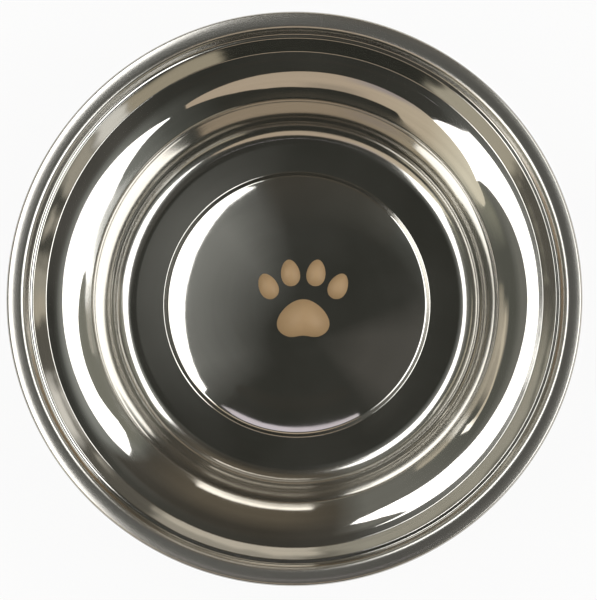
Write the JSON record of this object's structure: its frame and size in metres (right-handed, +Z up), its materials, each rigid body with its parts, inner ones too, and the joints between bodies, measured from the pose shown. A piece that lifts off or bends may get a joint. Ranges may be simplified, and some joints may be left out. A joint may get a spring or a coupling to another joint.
{
  "type": "dog bowl",
  "caption": "Round polished steel dog bowl with a rolled rim, a drip groove, a broad rounded shoulder, a domed floor with a paw print, and a non-slip ring.",
  "frame": {"origin": "on the surface that the bowl stands on, under the bowl's centre", "axes": "+Z up along the bowl's axis, +Y towards the back, where the paw print's toes point"},
  "size_m": [0.21, 0.21, 0.046],
  "materials": {
    "polished_steel": "mirror polished, with fine turned lines",
    "satin_steel": "satin, brushed round the wall",
    "black_rubber": "matte moulded",
    "tan_ink": "matte printed ink"
  },
  "bodies": {
    "root": {"food_bowl": "polished_steel", "outer_shell": "satin_steel", "non_slip_ring": "black_rubber", "paw_print": "tan_ink"}
  },
  "joints": []
}
